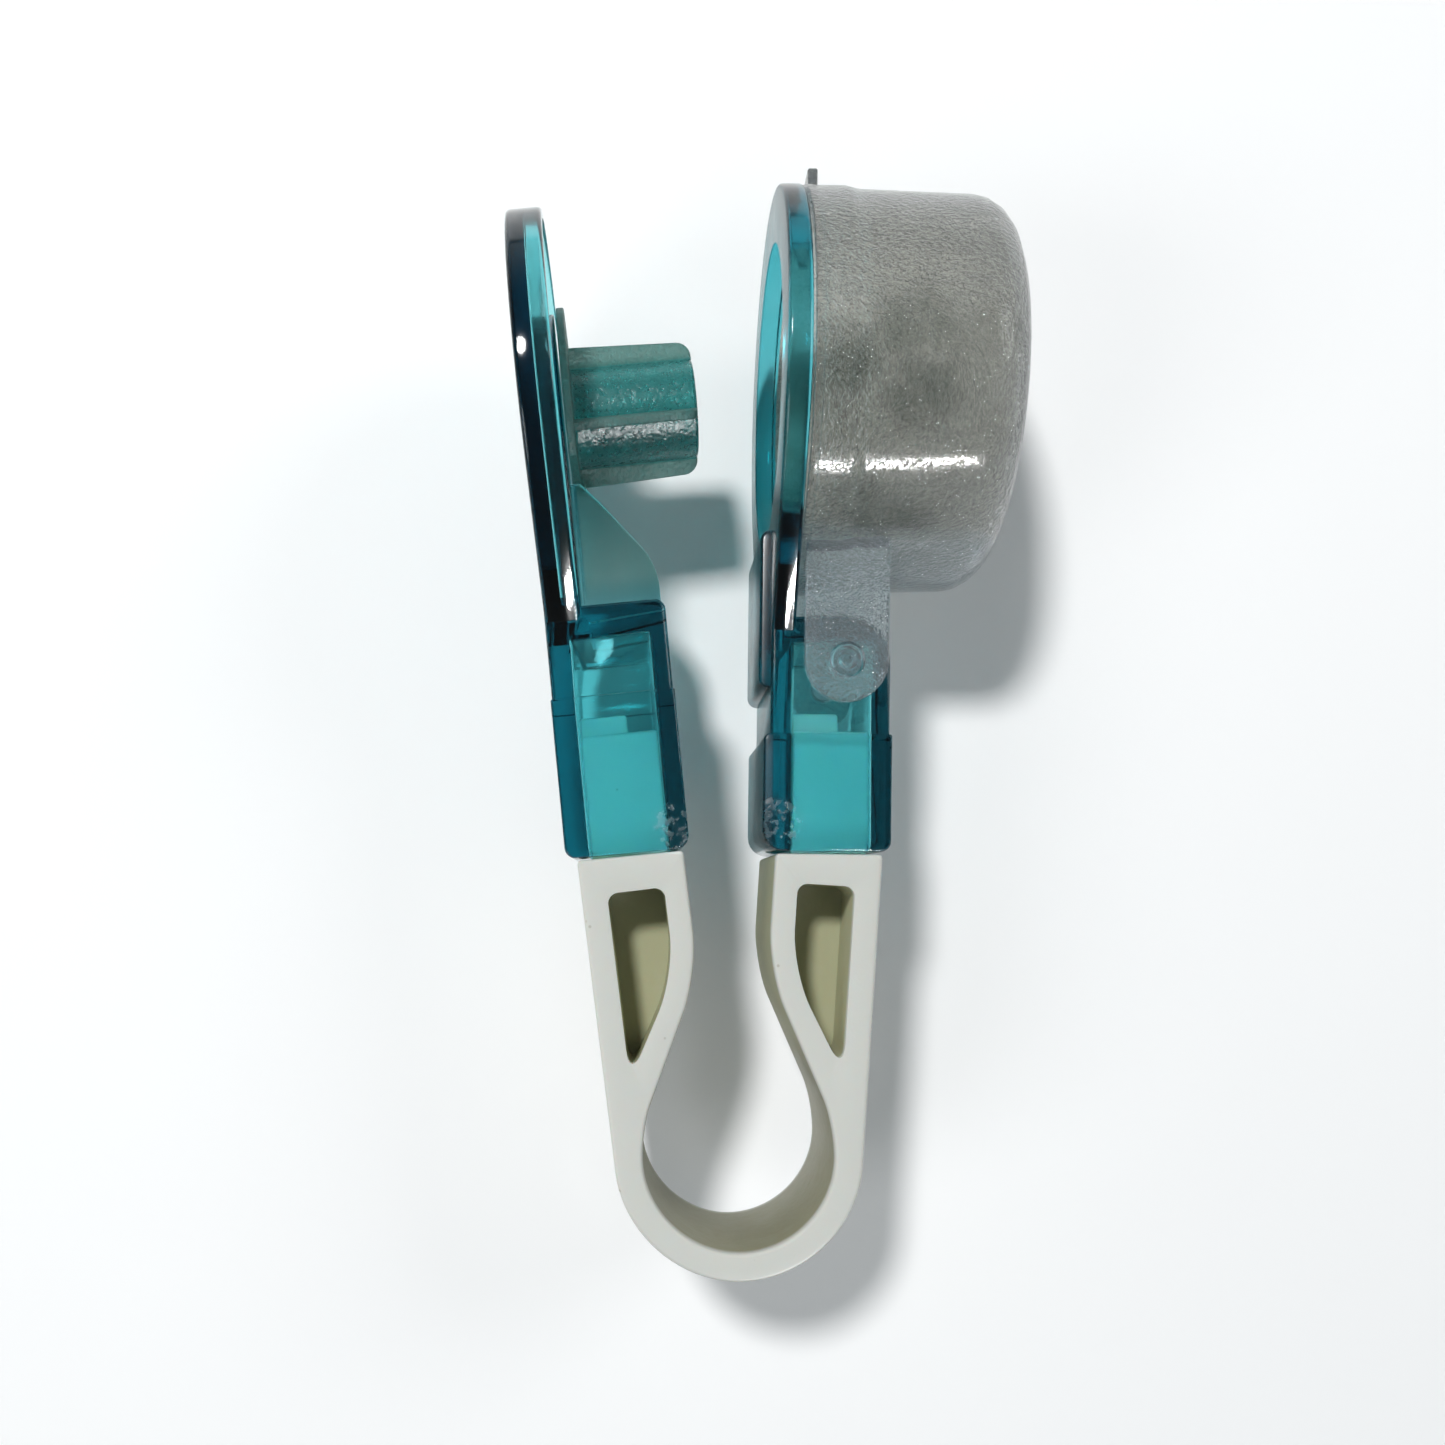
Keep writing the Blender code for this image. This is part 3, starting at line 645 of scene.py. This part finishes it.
def makePlunger():
    seat = leftPlace @ Matrix.Translation(layout["plungerSeat"])
    (start, end), flange = plungerSet["seat"], plungerSet["flange"]
    tip, core, bore, boreEnd = (plungerSet[key] for key in ("tip", "core", "bore", "boreEnd"))
    profile = [(start, 0, 0), (start, flange, 0.2), (end, flange, 0.2), (end, core, 0.3),
               (tip, core, 0.4), (tip, bore, 0.4), (boreEnd, bore, 0.6), (boreEnd, 0, 0)]
    plunger = turned("plunger", profile, seat)
    deep = flange + shared["past"]
    below = cornerBox(start - shared["past"], end + plungerSet["flatOver"], -2 * deep,
                      plungerSet["flat"] - layout["plungerSeat"].y)
    cut(plunger, slab("flat", below, -deep, deep, seat))
    inside = (core + bore) / 2
    rootSunk, tipSunk = plungerSet["finSunk"]
    fin = [(end - rootSunk, inside, 0), (end - rootSunk, plungerSet["finRoot"], 0),
           (tip, plungerSet["finTip"], plungerSet["corner"]), (tip - tipSunk, inside, 0)]
    half, fins = plungerSet["fin"], plungerSet["fins"]
    for index in range(fins):
        turn = Matrix.Rotation(radians(plungerSet["turn"] + 360 / fins * index), 4, "X")
        join(plunger, slab("fin", fin, -half, half, seat @ turn, plungerSet["finEdge"]))
    edgeSoftly(plunger, plungerSet["soft"])
    putInPlace(plunger, frostedTeal)
    return plunger


plunger = makePlunger()
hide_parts("plunger")
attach(plunger, "plunger_side")
print("plunger made")

ringSet = {"centre": 27.8, "radius": 23.0, "foot": -2.0, "thick": 2.7, "hole": 17.0,
           "holePast": (-3.0, 6.0), "ledge": (-1.3, 1.0, -8.0, 10.0), "ledgeHalf": 8.5,
           "ledgeCorner": 1.2, "edges": {"plate": 0.45, "ledge": 0.4}, "soft": 0.14}
rightBlock = {"width": 13.5, "half": 9.4, "corner": 5.2, "bore": 1.95, "boreHalf": 12.0}


def hingeAxis(turn=90):
    # X along the pins
    pivot = Matrix.Translation((*layout["hinge"], 0))
    return rightPlace @ pivot @ Matrix.Rotation(radians(turn), 4, "Y")


def makeRingArm():
    sleeve, edges = sleeves[1], ringSet["edges"]
    width, half = rightBlock["width"], rightBlock["half"]
    foot = sleeve["mouth"] + shared["tuck"]
    block = [(0, foot, 0), (width, foot, 0), (width, 0, rightBlock["corner"]), (0, 0, 0)]
    arm = slab("ringArm", block, -half, half, rightPlace, edges["plate"], arcSteps=12)
    face, footHalf = shared["paddle"][0], half - shared["paddle"][1]
    outline, _ = paddle(ringSet["centre"], ringSet["radius"], ringSet["foot"], footHalf)
    plate = slab("plate", outline, face, ringSet["thick"], rightPlace @ alongX, edges["plate"])
    centre = rightPlace @ Matrix.Translation((0, ringSet["centre"], 0))
    cut(plate, drill("hole", ringSet["hole"], *ringSet["holePast"], centre, 72))
    out, inner, low, high = ringSet["ledge"]
    corner = ringSet["ledgeCorner"]
    ledge = [(out, low, corner), (inner, low, 0), (inner, high, 0), (out, high, corner)]
    half = ringSet["ledgeHalf"]
    join(arm, plate, slab("ledge", ledge, -half, half, rightPlace, edges["ledge"]))
    join(arm, collarOf(sleeve))
    reach = rightBlock["boreHalf"]
    cut(arm, hollowOf(sleeve), drill("bore", rightBlock["bore"], -reach, reach, hingeAxis()))
    edgeSoftly(arm, ringSet["soft"])
    putInPlace(arm, rightTeal)
    return arm


ringArm = makeRingArm()
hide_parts("ring_arm")
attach(ringArm, "ring_side")
print("ring arm made")

cupSet = {"mouth": 23.0, "side": 22.85, "step": 22.5, "foot": 22.0, "stepEnds": (6.0, 4.4),
          "depth": 23.5, "wall": 1.3, "end": 5.0, "rim": 0.9, "lug": 4.67, "lugTop": 8.85,
          "lugThick": 1.7, "lugCorner": 0.3, "lugHole": 2.0, "holeHalf": 15.0, "nearRound": 0.01,
          "tab": (0.85, 2.0), "tabHalf": 6.0, "tabTop": 24.7, "tabCorner": 0.25, "edge": 0.3,
          "soft": 0.12}
lugStart = rightBlock["half"] + shared["gap"]


def makeCup():
    seat = rightPlace @ Matrix.Translation(layout["cupSeat"])
    mouth, side, step, foot = (cupSet[key] for key in ("mouth", "side", "step", "foot"))
    depth, wall, end, rim = (cupSet[key] for key in ("depth", "wall", "end", "rim"))
    stepFrom, stepTo = cupSet["stepEnds"]
    profile = [(depth, 0, 0), (depth, foot, end), (stepFrom, step, 1.0), (stepTo, side, 1.0),
               (rim, side, 0.05), (rim, mouth, 0.1), (0, mouth, 0.2), (0, side - wall, 0.3),
               (depth - wall, foot - wall, end - wall), (depth - wall, 0, 0)]
    cup = turned("catchCup", profile, seat, 128)
    tab = cornerBox(*cupSet["tab"], mouth - shared["tuck"], cupSet["tabTop"], cupSet["tabCorner"])
    tabHalf = cupSet["tabHalf"]
    join(cup, slab("tab", tab, -tabHalf, tabHalf, seat, cupSet["edge"]))
    # each lug is round below its pin and square above it
    half, top, corner = cupSet["lug"], cupSet["lugTop"], cupSet["lugCorner"]
    pivot = layout["hinge"]
    left, right, bottom = pivot.x - half, pivot.x + half, pivot.y - half
    rounding = half - cupSet["nearRound"]
    lug = [(left, bottom, rounding), (right, bottom, rounding), (right, top, corner),
           (left, top, corner)]
    thick = cupSet["lugThick"]
    for low in (lugStart, -lugStart - thick):
        join(cup, slab("lug", lug, low, low + thick, rightPlace, cupSet["edge"], arcSteps=12))
    reach = cupSet["holeHalf"]
    cut(cup, drill("hole", cupSet["lugHole"], -reach, reach, hingeAxis()))
    edgeSoftly(cup, cupSet["soft"])
    putInPlace(cup, cupClear)
    return cup


catchCup = makeCup()
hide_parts("catch_cup")
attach(catchCup, "cup")
print("catch cup made")

pinSet = {"radius": 1.75, "start": 8.0, "dish": 1.15, "deep": 0.5, "bottom": 0.6}


def makePin(name, side):
    # a headless pin with a dished end, standing in the lug
    start, end = pinSet["start"], lugStart + cupSet["lugThick"]
    radius, floor = pinSet["radius"], end - pinSet["deep"]
    profile = [(start, 0, 0), (start, radius, 0.3), (end, radius, 0.3), (end, pinSet["dish"], 0.15),
               (floor, pinSet["bottom"], 0.3), (floor, 0, 0)]
    pin = turned(name, profile, hingeAxis(-90 * side), 48)
    putInPlace(pin, pinClear)
    return pin


for nodeName, pinName, side in (("hinge_pin_upper", "upperPin", 1),
                                ("hinge_pin_lower", "lowerPin", -1)):
    pin = makePin(pinName, side)
    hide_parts(nodeName)
    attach(pin, "cup")
print("pins made")

stageSet = {"floor": (0.96, 0.96, 0.96), "mottle": 0.99, "size": 3.0, "below": 0.0002,
            "horizon": (0.46, 0.50, 0.51), "overhead": (0.10, 0.12, 0.13), "sky": (0.05, 0.60)}
lightSet = [
    {"name": "key", "place": (-0.23, 0.31, 0.77), "aim": (0, 0, 0), "size": (0.12, 0.12), "power": 5.5},
    {"name": "fillLeft", "place": (-0.55, -0.30, 0.60), "aim": (0, 0, 0), "size": (0.40, 0.40),
     "power": 1.3},
    {"name": "fillRight", "place": (0.60, 0.30, 0.55), "aim": (0, 0, 0), "size": (0.40, 0.40),
     "power": 1.3},
    {"name": "strip", "place": (0.20, -0.53, 0.42), "aim": (0.02, 0.03, 0.03), "size": (0.22, 0.045),
     "power": 4.6, "glossOnly": True},
]


def makeStage():
    mesh = bmesh.new()
    bmesh.ops.create_grid(mesh, x_segments=1, y_segments=1, size=stageSet["size"])
    floor = newPiece("floor", mesh)
    floor.location.z = -stageSet["below"]
    finish = Finish("palePaper")
    darker = tuple(stageSet["mottle"] * channel for channel in stageSet["floor"])
    finish.set(Base_Color=finish.noise(40, 2).tint(stageSet["floor"], darker), Roughness=0.8)
    floor.data.materials.append(finish.material)


def makeLights():
    for row in lightSet:
        glossOnly = row.get("glossOnly", False)
        data = bpy.data.lights.new(row["name"], "AREA")
        data.shape = "RECTANGLE" if glossOnly else "ELLIPSE"
        data.size, data.size_y = row["size"]
        data.energy = row["power"]
        light = bpy.data.objects.new(row["name"], data)
        light.location = row["place"]
        light.visible_diffuse = not glossOnly
        light.visible_glossy = row["name"] != "key"
        aim = Vector(row["aim"]) - Vector(row["place"])
        light.rotation_euler = aim.to_track_quat("-Z", "Y").to_euler()
        bpy.context.scene.collection.objects.link(light)
    world = bpy.data.worlds.new("studio")
    world.use_nodes = True
    tree = world.node_tree
    way = Socket(tree, tree.nodes.new("ShaderNodeTexCoord").outputs["Generated"])
    height = way.parts()[2]
    sky = height.ramp(*stageSet["sky"]).tint(stageSet["horizon"], stageSet["overhead"])
    tree.links.new(sky.output, tree.nodes["Background"].inputs["Color"])
    bpy.context.scene.world = world


makeStage()
makeLights()
bpy.context.scene.view_settings.view_transform = "Standard"  # clean whites and full colours
print("stage and lights made")
